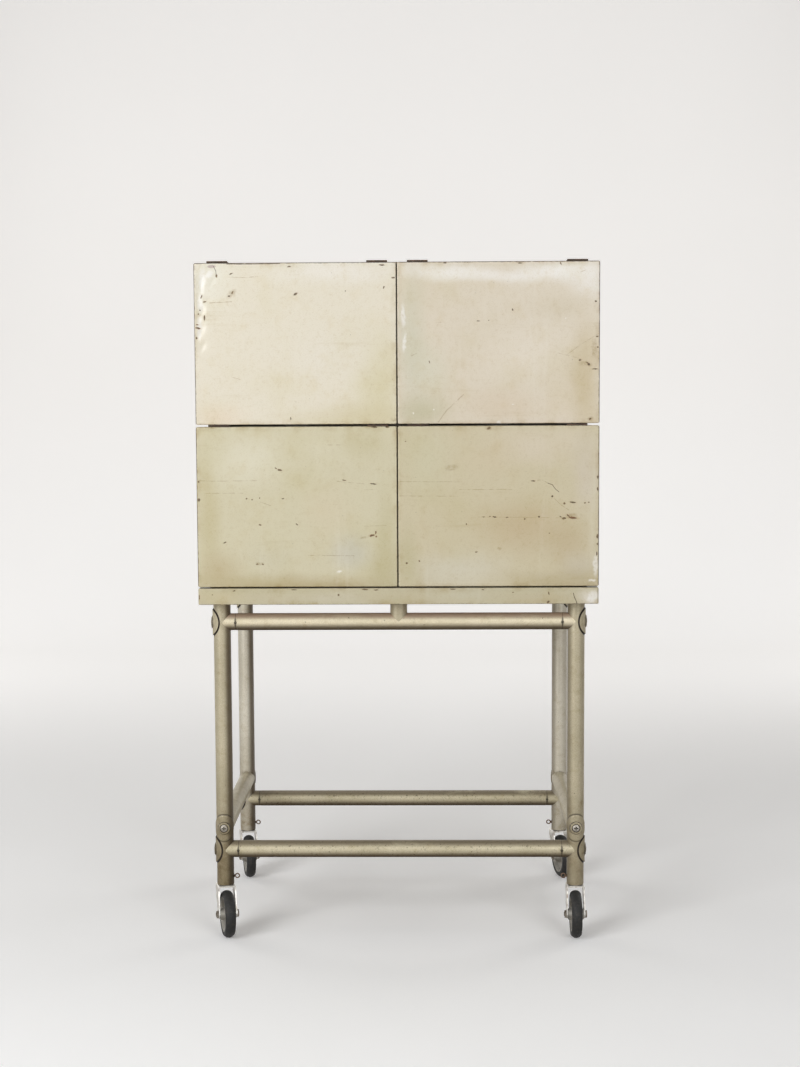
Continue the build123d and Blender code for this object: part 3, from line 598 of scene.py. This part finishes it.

# the enamel's main tone on each front, and its broad soft patches; the pale pools along the top of the upper
# fronts are a painted sheen
painted_sheen = (240, 237, 231)
front_tones = {
    "upper_left_front": (srgb(228, 221, 203), [
        (-110, 1240, 150, 26, painted_sheen, 0.5), (-340, 1225, 60, 60, (232, 230, 216), 0.6),
        (-30, 1040, 60, 120, (214, 206, 172), 0.8), (-70, 975, 150, 34, (210, 200, 165), 0.75),
        (-320, 985, 60, 34, (228, 212, 190), 0.6), (-130, 1090, 110, 60, (230, 224, 210), 0.5),
    ]),
    "upper_right_front": (srgb(219, 209, 190), [
        (95, 1238, 120, 20, painted_sheen, 0.85), (290, 1234, 110, 26, painted_sheen, 0.9),
        (345, 1212, 50, 30, painted_sheen, 0.6), (190, 1232, 200, 14, painted_sheen, 0.5),
        (30, 1110, 34, 150, (208, 204, 184), 0.9), (45, 985, 60, 40, (194, 188, 158), 0.85),
        (60, 1060, 50, 70, (212, 209, 188), 0.6), (235, 1090, 90, 60, (226, 217, 201), 0.8),
        (340, 1040, 36, 120, (202, 187, 154), 0.95), (190, 1000, 90, 40, (214, 199, 176), 0.7),
        (290, 1010, 50, 60, (218, 206, 186), 0.7), (290, 1170, 60, 30, (210, 199, 176), 0.7),
    ]),
    "lower_left_front": (srgb(209, 202, 174), [
        (-270, 905, 90, 60, (222, 217, 196), 0.85), (-150, 920, 90, 50, (217, 211, 188), 0.6),
        (-350, 800, 26, 130, (197, 187, 150), 0.9), (-330, 700, 50, 44, (190, 176, 140), 0.8),
        # painted reflection: the pale grey pool at x -85, z 735
        (-85, 735, 50, 40, (203, 199, 183), 0.9), (-180, 676, 230, 24, (182, 168, 130), 0.9),
        (-20, 700, 40, 60, (186, 176, 138), 0.7),
        (-60, 930, 50, 40, (200, 192, 158), 0.7), (-240, 720, 60, 30, (206, 200, 176), 0.6),
        (-130, 810, 60, 60, (211, 200, 172), 0.6), (-20, 760, 24, 120, (196, 188, 152), 0.7),
    ]),
    "lower_right_front": (srgb(205, 195, 166), [
        (50, 900, 60, 90, (205, 199, 170), 0.8), (260, 925, 110, 44, (213, 202, 180), 0.9),
        (60, 690, 70, 30, (192, 182, 150), 0.5), (330, 690, 50, 40, (180, 168, 138), 0.6),
        (340, 880, 30, 90, (208, 198, 180), 0.9), (230, 780, 100, 60, (195, 178, 144), 0.9),
        # painted reflection: the pale grey pool at x 110, z 700
        (310, 750, 50, 50, (192, 176, 142), 0.8), (110, 700, 110, 44, (210, 204, 184), 0.9),
        (280, 680, 110, 26, (186, 173, 138), 0.85), (330, 716, 40, 24, (204, 196, 176), 0.6),
        (20, 720, 26, 80, (190, 182, 146), 0.7), (180, 900, 60, 40, (206, 193, 164), 0.6),
    ]),
}


# ---- fronts: dented, folded sheet ----
sheet = 1.5 * MM
corner_r = 3 * MM
arris_r = 2 * MM
into_side_gap = 1.1 * MM       # how far a skin stands into the open line between the columns
into_gap_below = {"upper_left_front": 0.0, "upper_right_front": 0.0,
                  "lower_left_front": 1.6 * MM, "lower_right_front": 1.6 * MM}
lip = 13.5 * MM
grid_step = 3 * MM

# hollows and dents pressed into each front: (x, z, half length, half width, tilt, depth)
front_dents = {
    "upper_left_front": [
        (-190, 1110, 110, 80, 0, 0.9), (-80, 1180, 70, 50, 20, 0.5), (-300, 1000, 60, 44, 0, 0.5),
        (-353, 1216, 17, 5, 84, 1.4), (-332, 1223, 13, 4, 58, 0.7), (-344, 1236, 9, 5, 20, 0.6),
        (-357, 1186, 12, 5, 100, 1.6), (-351, 1170, 11, 4.5, 75, 1.7), (-358, 1155, 9, 5, 95, 1.3),
        (-352, 1139, 11, 5, 80, 1.8), (-360, 1124, 8, 4, 90, 1.1), (-352, 1106, 10, 5, 62, 1.3),
        (-341, 1190, 7, 4, 10, 0.8),
    ],
    "upper_right_front": [
        (180, 1120, 120, 90, 0, 0.9), (300, 1040, 70, 50, 30, 0.6), (70, 1210, 60, 40, 0, 0.5),
        (16, 1166, 11, 4, 105, 0.8), (21, 1150, 8, 4, 80, 0.7), (15, 1128, 12, 4, 95, 0.7),
        (19, 1100, 9, 4, 85, 0.6), (312, 1098, 9, 4, 60, 0.6), (318, 1084, 7, 4, 130, 0.6),
        (184, 966, 8, 5, 90, 0.6),
    ],
    "lower_left_front": [
        (-180, 820, 120, 90, 0, 0.9), (-90, 720, 60, 44, 20, 0.7), (-300, 900, 70, 50, 0, 0.5),
        (-107, 699, 9, 4, 12, 1.1), (-70, 738, 26, 6, -52, 0.8), (-150, 900, 40, 7, 82, 0.6),
    ],
    "lower_right_front": [
        (190, 830, 120, 90, 0, 0.9), (90, 900, 60, 44, 0, 0.5), (300, 720, 60, 44, 0, 0.6),
        (96, 889, 12, 6, 15, 0.7), (350, 690, 16, 8, 30, 0.7), (40, 880, 7, 5, 0, 0.5),
    ],
}


def pressed_in(dents, x, z):
    """How far the skin is pressed back at a place, in metres."""
    total = 0.0
    for dent_x, dent_z, half_long, half_wide, tilt, deep in dents:
        off_x, off_z = x / MM - dent_x, z / MM - dent_z
        run, rise = cos(radians(tilt)), sin(radians(tilt))
        along = (off_x * run + off_z * rise) / half_long
        across = (off_z * run - off_x * rise) / half_wide
        total += deep * MM * exp(-along * along - across * across)
    return total


def steps_between(low, high, step):
    """Evenly spaced values from low to high, about a step apart."""
    count = max(1, round((high - low) / step))
    return [low + (high - low) * i / count for i in range(count + 1)]


def outline_ring(xs, zs, inset, low, high):
    """Points round a front at one inset from its outline; the corners are arcs out to their radius."""
    left, right = low.x + inset, high.x - inset
    bottom, top = low.z + inset, high.z - inset
    spare = max(corner_r - inset, 0.0)
    arc_steps = 5
    points = []
    corner_centres = [
        (low.x + corner_r, low.z + corner_r, 180),
        (high.x - corner_r, low.z + corner_r, 270),
        (high.x - corner_r, high.z - corner_r, 0),
        (low.x + corner_r, high.z - corner_r, 90),
    ]
    sides = [
        [(x, bottom) for x in xs[1:-1]],
        [(right, z) for z in zs[1:-1]],
        [(x, top) for x in reversed(xs[1:-1])],
        [(left, z) for z in reversed(zs[1:-1])],
    ]
    for (centre_x, centre_z, start), side in zip(corner_centres, sides):
        for i in range(arc_steps + 1):
            angle = radians(start + 90 * i / arc_steps)
            x = centre_x + spare * cos(angle)
            z = centre_z + spare * sin(angle)
            points.append((min(max(x, left), right), min(max(z, bottom), top)))
        points += [(min(max(x, left), right), min(max(z, bottom), top)) for x, z in side]
    return points


def mesh_piece(name, mesh, coat, sharp_angle=40):
    """Turn a bmesh into a smooth-shaded object with one coat."""
    bmesh.ops.remove_doubles(mesh, verts=mesh.verts, dist=1e-6)
    bmesh.ops.dissolve_degenerate(mesh, edges=mesh.edges, dist=1e-6)
    bmesh.ops.recalc_face_normals(mesh, faces=mesh.faces)
    data = bpy.data.meshes.new(name)
    mesh.to_mesh(data)
    mesh.free()
    data.shade_smooth()
    data.set_sharp_from_angle(angle=radians(sharp_angle))
    data.materials.append(coat.material)
    return add_object(name, data)


def join_rings(mesh, rings):
    """Faces between each ring of vertices and the next."""
    for near, far in zip(rings, rings[1:]):
        count = len(near)
        for i in range(count):
            j = (i + 1) % count
            mesh.faces.new((near[i], near[j], far[j], far[i]))


def grown_box(name):
    """A front's box, grown into the open lines towards the cabinet's middle and below."""
    low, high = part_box(name)
    if low.x < 0:
        high.x += into_side_gap
    else:
        low.x -= into_side_gap
    low.z -= into_gap_below[name]
    return low, high


def folded_front(name, coat):
    """A front as pressed sheet: dented skin, rolled arris, folded sides and an inner lip."""
    low, high = grown_box(name)
    depth = high.y - low.y
    dents = front_dents[name]
    xs = steps_between(low.x + corner_r, high.x - corner_r, grid_step)
    zs = steps_between(low.z + corner_r, high.z - corner_r, grid_step)
    mesh = bmesh.new()

    def skin(behind):
        rows = []
        for z in zs:
            rows.append([mesh.verts.new((x, low.y + behind + pressed_in(dents, x, z), z)) for x in xs])
        for lower_row, upper_row in zip(rows, rows[1:]):
            for i in range(len(xs) - 1):
                mesh.faces.new((lower_row[i], lower_row[i + 1], upper_row[i + 1], upper_row[i]))

    def ring(inset, behind, share):
        """Share is how much of the skin's pressing in the ring follows."""
        points = outline_ring(xs, zs, inset, low, high)
        return [mesh.verts.new((x, low.y + behind + share * pressed_in(dents, x, z), z)) for x, z in points]

    bend = [(arris_r * (1 - sin(radians(a))), arris_r * (1 - cos(radians(a))), 1.0)
            for a in (0, 22.5, 45, 67.5, 90)]
    sides = [(0, 6 * MM, 0.5), (0, 12 * MM, 0.0), (0, depth - 0.3 * MM, 0.0), (0.3 * MM, depth, 0.0)]
    inside = [(lip, depth, 0.0), (lip, depth - sheet, 0.0), (sheet, depth - sheet, 0.0),
              (sheet, 12 * MM, 0.0), (sheet, 6 * MM, 0.5), (sheet, sheet, 1.0), (corner_r, sheet, 1.0)]
    profile = [(corner_r, 0.0, 1.0)] + bend + sides + inside
    skin(0.0)
    skin(sheet)
    join_rings(mesh, [ring(*station) for station in profile])
    return mesh_piece(name + "_sheet", mesh, coat, sharp_angle=50)


for name in front_names:
    low, high = grown_box(name)
    tone, pools = front_tones[name]
    piece = folded_front(name, enamel(name + "_enamel", tone, low, high, pools, front_marks[name]))
    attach(piece, name)
    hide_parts(name)

# ---- finishes for the nodes that stay as they are ----
rail_marks = {
    "chips": [(-109, 654, 2, 2.2), (-340, 655, 1.2, 1), (275, 656, 1.2, 3, 10), (274, 640, 3, 2, 40),
              (210, 658, 1.6, 1), (-60, 664, 6, 1.4), (-40, 663, 4, 1.2), (-190, 664, 5, 1),
              (-300, 662, 3, 1, 20), (100, 664, 5, 1.1), (155, 663, 2.6, 1), (-364, 650, 1.2, 5)],
    "scratches": [(320, 656, 322, 648, 1), (322, 648, 326, 638, 1.1)],
    # pale: a painted highlight on the bulged right end of the rail
    "pale": [(357, 652, 11, 11), (352, 645, 9, 7, 20)],
}
rail_pools = [
    (-330, 652, 60, 20, (200, 190, 156), 0.7), (-150, 655, 90, 14, (204, 198, 178), 0.6),
    (0, 645, 60, 16, (188, 178, 144), 0.7), (110, 655, 70, 14, (201, 196, 174), 0.6),
    # painted highlight: the pale pool at x 345 on the rail's right end
    (260, 645, 80, 16, (190, 178, 146), 0.7), (345, 652, 26, 26, (226, 220, 208), 0.8),
]
pan_finish = enamel("rail_enamel", srgb(196, 188, 160), pan_low, pan_high, rail_pools, rail_marks)
paint_nodes(pan_finish, "base_pan")
case_low, case_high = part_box("body_left_side")[0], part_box("body_right_side")[1]
case_finish = enamel("case_enamel", srgb(208, 200, 174), case_low, case_high)
paint_nodes(case_finish, "body_left_side", "body_right_side", "body_back", "body_top")
paint_nodes(primer("inner_primer_finish"), "body_floor", "centre_divider", "left_shelf", "right_shelf")

lock_hole_off = 2.8 * MM         # from a bar's end to the middle of its lock hole
front_tube_tones = (srgb(182, 173, 147), srgb(200, 191, 166))
# painted light: the rear legs get a lighter, greyer tone that stands for the light they catch
rear_tube_lit_tones = (srgb(208, 202, 186), srgb(222, 217, 203))
bar_tones = (srgb(224, 214, 184), srgb(238, 228, 202))
low_bar_tones = (srgb(200, 191, 162), srgb(214, 205, 178))
seam_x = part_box("front_upper_bar")[1].x + lock_hole_off
side_low, side_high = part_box("left_side_bar")
seam_y = (side_high.y - side_low.y) / 2 + lock_hole_off
front_leg_finish = stand_paint("front_leg_paint", front_tube_tones, foot_grime_and_inner_shade=1.0, freckled=0.35)
rear_leg_lit_finish = stand_paint("rear_leg_lit_paint", rear_tube_lit_tones, foot_grime_and_inner_shade=0.6, freckled=0.15)
side_bar_finish = stand_paint("side_bar_paint", front_tube_tones, underside_shade=0.6, freckled=0.4,
                              seam=("y", seam_y))
top_bar_finish = stand_paint("top_bar_paint", bar_tones, film=srgb(178, 150, 130), underside_shade=1.0,
                             freckled=0.3, seam=("x", seam_x))
low_bar_finish = stand_paint("low_bar_paint", low_bar_tones, film=srgb(124, 112, 92), underside_shade=1.0,
                             freckled=1.3, seam=("x", seam_x))
paint_nodes(front_leg_finish, "front_left_leg", "front_right_leg")
paint_nodes(rear_leg_lit_finish, "rear_left_leg", "rear_right_leg")
paint_nodes(side_bar_finish, "left_side_bar", "right_side_bar", "side_bar_ends",
            "front_centre_stub", "rear_centre_stub")
paint_nodes(top_bar_finish, "front_upper_bar", "rear_upper_bar", "upper_bar_ends")
paint_nodes(low_bar_finish, "front_lower_bar", "rear_lower_bar", "lower_bar_ends")

hinge_finish = dull_steel("hinge_browned_steel", (srgb(72, 62, 55), srgb(104, 82, 66)))
paint_nodes(hinge_finish, "hinge_body_leaves", "hinge_pins", "hinge_rivets",
            *[name + "_leaves" for name in front_names])
screw_finish = dull_steel("screw_bright_steel", (srgb(168, 162, 152), srgb(134, 126, 112)), 0.6, 0.5)
dark_screw_finish = dull_steel("browned_screw_steel", (srgb(112, 92, 76), srgb(88, 66, 50)), 0.7, 0.45)
axle_finish = dull_steel("stained_axle_steel", (srgb(150, 142, 130), srgb(92, 80, 66)), 0.8, 0.4, 300.0)
paint_nodes(screw_finish, "tube_top_plugs", "pan_bolts", "stem_sleeves")
paint_nodes(moulded_plastic("magnet_case_plastic", srgb(52, 50, 47)), "front_magnets")
for coat, part in ((zinc_plate("caster_zinc"), "fork"), (axle_finish, "axle"),
                   (grey_rim_paint("rim_grey_paint"), "rim"), (tyre_rubber("tyre_rubber_finish"), "tyre")):
    paint_nodes(coat, *[name + "_caster_" + part for name in leg_names])


# ---- joint hardware: bent washers, cross-recess screws and ring screws ----
tube_r = 16 * MM
washer_inner = 16.2 * MM         # from a leg's axis
washer_outer = 18.0 * MM
boss_top = 19.4 * MM
screw_r = 2.95 * MM
screw_head_r = 6.4 * MM
screw_dome = 1.6 * MM
screw_tip = -49 * MM
eye_ring_r = 3.9 * MM           # middle of the ring's wire
eye_wire = (1.25 * MM, 1.1 * MM)   # half width and half thickness of the wire
eye_shank_r = 1.98 * MM
eye_shank_tip = -18.1 * MM       # from the middle of the ring
eye_stand_off = 6.1 * MM         # from the tube to the middle of the ring


def placed(x, y, z, turn):
    return Matrix.Translation((x, y, z)) @ Matrix.Rotation(turn, 4, "Z")


def loft(mesh, place, outlines, closed=False):
    """Skin over outlines of equal counts, ended by two faces or closed on the first outline."""
    rings = [[mesh.verts.new(place @ Vector(point)) for point in points] for points in outlines]
    if closed:
        join_rings(mesh, rings + rings[:1])
    else:
        join_rings(mesh, rings)
        mesh.faces.new(rings[0])
        mesh.faces.new(rings[-1])


def joint_places():
    """The twelve joint screws: each leg's axis at a bar's height, turned so that +X points outwards."""
    upper, lower = middle("front_upper_bar").z, middle("front_lower_bar").z
    side = middle("left_side_bar").z
    places = []
    for name in leg_names:
        axis = middle(name + "_leg")
        out_x = 0.0 if axis.x > 0 else pi
        out_y = copysign(pi / 2, axis.y)
        for height, turn in ((upper, out_x), (lower, out_x), (side, out_y)):
            places.append(placed(axis.x, axis.y, height, turn))
    return places


def round_points(x, radius, angles):
    """Points of a circle about the X axis."""
    return [(x, radius * cos(angle), radius * sin(angle)) for angle in angles]


def turns(count):
    return [2 * pi * i / count for i in range(count)]


def add_washer(mesh, place):
    """Round washer bent over a tube, with a raised boss, a ring groove and a dished seat."""
    angles = turns(48)

    def bent_ring(start, share, radius):
        """Share 0 is a circle of the start radius, share 1 the washer's outline."""
        points = []
        for angle in angles:
            near = asin(start * cos(angle) / washer_outer)
            swing = near + (washer_half_angle * cos(angle) - near) * share
            rise = start * sin(angle) + (washer_half_height - start) * sin(angle) * share
            points.append((radius * cos(swing), radius * sin(swing), rise))
        return points

    seat, foot = screw_head_r + 0.2 * MM, 12.4 * MM
    boss_profile = [(seat, 0.0), (7.6 * MM, 0.25 * MM), (8.4 * MM, 0.0), (8.8 * MM, -0.5 * MM),
                    (9.4 * MM, -0.5 * MM), (9.8 * MM, -0.1 * MM), (10.8 * MM, -0.1 * MM),
                    (11.3 * MM, -0.5 * MM)]
    top = [round_points(boss_top + rise, reach, angles) for reach, rise in boss_profile]
    outside = [bent_ring(foot, share, washer_outer) for share in (0, 0.25, 0.5, 0.75, 0.95)]
    rim = [bent_ring(foot, 1.0, washer_outer - 0.4 * MM), bent_ring(foot, 1.0, washer_inner + 0.3 * MM)]
    inside = [bent_ring(foot, share, washer_inner) for share in (0.97, 0.5, 0)]
    hole = [bent_ring(3.3 * MM, 0, washer_inner)]
    loft(mesh, place, top + outside + rim + inside + hole, closed=True)


def cross_angles(corner):
    """Angles that hit every corner of a cross, with a few between."""
    quarter = [-pi / 4, -pi / 6, -corner, -corner / 2, 0, corner / 2, corner, pi / 6]
    return [pi / 2 * k + angle for k in range(4) for angle in quarter]


def add_screw(mesh, place):
    """Raised countersunk screw with a cross recess, its head towards +X."""
    arm_half_width, arm_reach, recess_deep = 1.0 * MM, 3.8 * MM, 1.9 * MM
    corner = atan2(arm_half_width, arm_reach)
    angles = cross_angles(corner)
    dome_r = (screw_head_r ** 2 + screw_dome ** 2) / (2 * screw_dome)

    def dome_x(reach):
        return boss_top + screw_dome - dome_r + sqrt(dome_r ** 2 - reach ** 2)

    def cross_ring(shrink, drop):
        points = []
        for angle in angles:
            folded = abs((angle + pi / 4) % (pi / 2) - pi / 4)
            reach = arm_reach / cos(folded)
            if folded > corner:
                reach = arm_half_width / sin(folded)
            x = dome_x(reach) - drop
            points.append((x, shrink * reach * cos(angle), shrink * reach * sin(angle)))
        return points

    neck = boss_top - (screw_head_r - screw_r)
    body_profile = [(screw_tip, screw_r * 0.6), (screw_tip + 1.2 * MM, screw_r), (neck, screw_r),
                    (boss_top - 0.3 * MM, screw_head_r)]
    head_profile = [(dome_x(reach), reach) for reach in (screw_head_r, 5.8 * MM, 5.1 * MM, 4.5 * MM)]
    outside = [round_points(x, reach, angles) for x, reach in body_profile + head_profile]
    recess = [cross_ring(1.0, 0.0), cross_ring(0.86, recess_deep * 0.8), cross_ring(0.3, recess_deep)]
    loft(mesh, place, outside + recess)


def add_eye_screw(mesh, place):
    """Screw with a round-wire ring, its shank towards -X."""
    wire = [(eye_ring_r + eye_wire[0] * cos(turn), eye_wire[1] * sin(turn)) for turn in turns(12)]
    loft(mesh, place, [[(reach * cos(angle), y, reach * sin(angle)) for reach, y in wire]
                       for angle in turns(36)], closed=True)
    angles = turns(20)
    ring_edge = -eye_ring_r
    stations = [(eye_shank_tip, 0.7), (eye_shank_tip + 1 * MM, 1.0), (ring_edge - 2.6 * MM, 1.0),
                (ring_edge - 2.2 * MM, 1.35), (ring_edge - 1.4 * MM, 1.35), (ring_edge - 1.0 * MM, 0.9),
                (ring_edge, 0.55)]
    loft(mesh, place, [round_points(x, share * eye_shank_r, angles) for x, share in stations])


def eye_places():
    """The four ring screws: the middle of each ring, turned so that the shank points at its leg."""
    low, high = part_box("stem_eye_screws")
    height = (low.z + high.z) / 2
    places = []
    for name in leg_names:
        axis = middle(name + "_leg")
        side = -copysign(1.0, axis.x)
        centre = axis.x + side * (tube_r + eye_stand_off)
        places.append(placed(centre, axis.y, height, 0.0 if side > 0 else pi))
    return places


def hardware(name, node, coat, places, add):
    """One piece made of a repeated fastener, in the place of its CAD node."""
    mesh = bmesh.new()
    for place in places:
        add(mesh, place)
    piece = mesh_piece(name, mesh, coat)
    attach(piece, "root")
    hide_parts(node)


hardware("dished_washers", "saddle_washers", front_leg_finish, joint_places(), add_washer)
hardware("cross_recess_screws", "saddle_screws", screw_finish, joint_places(), add_screw)
hardware("ring_screws", "stem_eye_screws", dark_screw_finish, eye_places(), add_eye_screw)


# ---- camera, floor and light ----
def aim_camera():
    """Camera at the photograph's place, turned left, tilted down and rolled a little."""
    turn_cos, turn_sin = cos(camera_turn), sin(camera_turn)
    level_right = Vector((turn_cos, turn_sin, 0))
    level_ahead = Vector((-turn_sin, turn_cos, 0))
    up = Vector((0, 0, 1))
    ahead = cos(camera_pitch) * level_ahead - sin(camera_pitch) * up
    tilted_up = sin(camera_pitch) * level_ahead + cos(camera_pitch) * up
    right = cos(camera_roll) * level_right - sin(camera_roll) * tilted_up
    upward = sin(camera_roll) * level_right + cos(camera_roll) * tilted_up
    data = bpy.data.cameras.new("camera")
    data.lens = camera_lens
    data.sensor_width = 36
    camera = add_object("camera", data)
    turned = Matrix((right, upward, -ahead)).transposed().to_4x4()
    camera.matrix_world = Matrix.Translation(camera_place) @ turned
    bpy.context.scene.camera = camera


def pale_backdrop():
    """Floor that sweeps up into a wall, paler to the camera and to reflections than to the object."""
    wide = 14.0
    sweep_start = 3.2
    sweep_r = 1.2
    wall_top = 8.0
    sweep_steps = 12
    profile = [(-wide, 0.0), (sweep_start, 0.0)]
    for i in range(1, sweep_steps + 1):
        angle = radians(90 * i / sweep_steps)
        profile.append((sweep_start + sweep_r * sin(angle), sweep_r * (1 - cos(angle))))
    profile.append((sweep_start + sweep_r, wall_top))
    mesh = bmesh.new()
    rows = [[mesh.verts.new((side * wide, y, z)) for side in (-1, 1)] for y, z in profile]
    for near, far in zip(rows, rows[1:]):
        mesh.faces.new((near[0], near[1], far[1], far[0]))
    data = bpy.data.meshes.new("backdrop")
    mesh.to_mesh(data)
    mesh.free()
    data.shade_smooth()
    backdrop = add_object("backdrop", data)
    coat = Coat("backdrop_paper")
    seen = coat.seen()
    x, y, z = coat.axes()
    unseen = coat.mix(coat.fade(z, 0.0, 0.5), srgb(146, 130, 106), srgb(206, 200, 192))
    pale = coat.mix(coat.noise(2.0, 2), srgb(248, 247, 245), srgb(252, 251, 250))
    glow = coat.scaled(coat.fade(y, 0.6, 3.2), 0.29, 0.13)
    glow = coat.scaled(coat.fade(y, -1.4, -4.5), 0.40, glow)
    glow = coat.scaled(coat.fade(coat.size(x), 3.0, 8.0), 0.35, glow)
    for name, value in (("Base Color", coat.mix(seen, unseen, pale)), ("Roughness", 0.9),
                        ("Specular IOR Level", 0.1), ("Emission Color", srgb(252, 250, 248)),
                        ("Emission Strength", coat.times(seen, coat.least(glow, 0.6)))):
        coat.put(value, coat.shader.inputs[name])
    data.materials.append(coat.material)


def soft_light(name, place, target, size, power, colour=(1, 1, 1)):
    """Square soft box aimed at a point."""
    data = bpy.data.lights.new(name, "AREA")
    data.shape = "SQUARE"
    data.size = size
    data.energy = power
    data.color = colour
    light = add_object(name, data)
    light.location = place
    light.visible_camera = False
    light.rotation_euler = (Vector(target) - Vector(place)).to_track_quat("-Z", "Y").to_euler()


def pale_world(strength, seen_strength):
    """Even pale light from all round, paler to the camera and to reflections."""
    world = bpy.data.worlds.new("studio")
    bpy.context.scene.world = world
    world.use_nodes = True
    sums = Nodes(world.node_tree)
    background = world.node_tree.nodes["Background"].inputs
    sums.put(srgb(246, 246, 246), background["Color"])
    sums.put(sums.scaled(sums.seen(), seen_strength - strength, strength), background["Strength"])


aim_camera()
pale_backdrop()
pale_world(0.18, 0.94)
soft_light("window", (-2.4, -3.3, 1.7), (0.0, 0.0, 0.75), 2.0, 110.0, (0.965, 0.98, 1.0))
soft_light("fill", (1.7, -3.7, 1.5), (0.0, 0.0, 0.7), 1.8, 50.0, (0.95, 0.97, 1.0))
soft_light("overhead", (0.0, 0.4, 3.5), (0.0, 0.4, 0.0), 2.6, 12.0)
for name, x in (("rear_left", -3.5), ("rear_right", 3.5)):
    soft_light(name, (x, 2.7, 1.9), (0.0, 0.0, 0.8), 1.8, 30.0)
bpy.context.scene.view_settings.view_transform = "Standard"
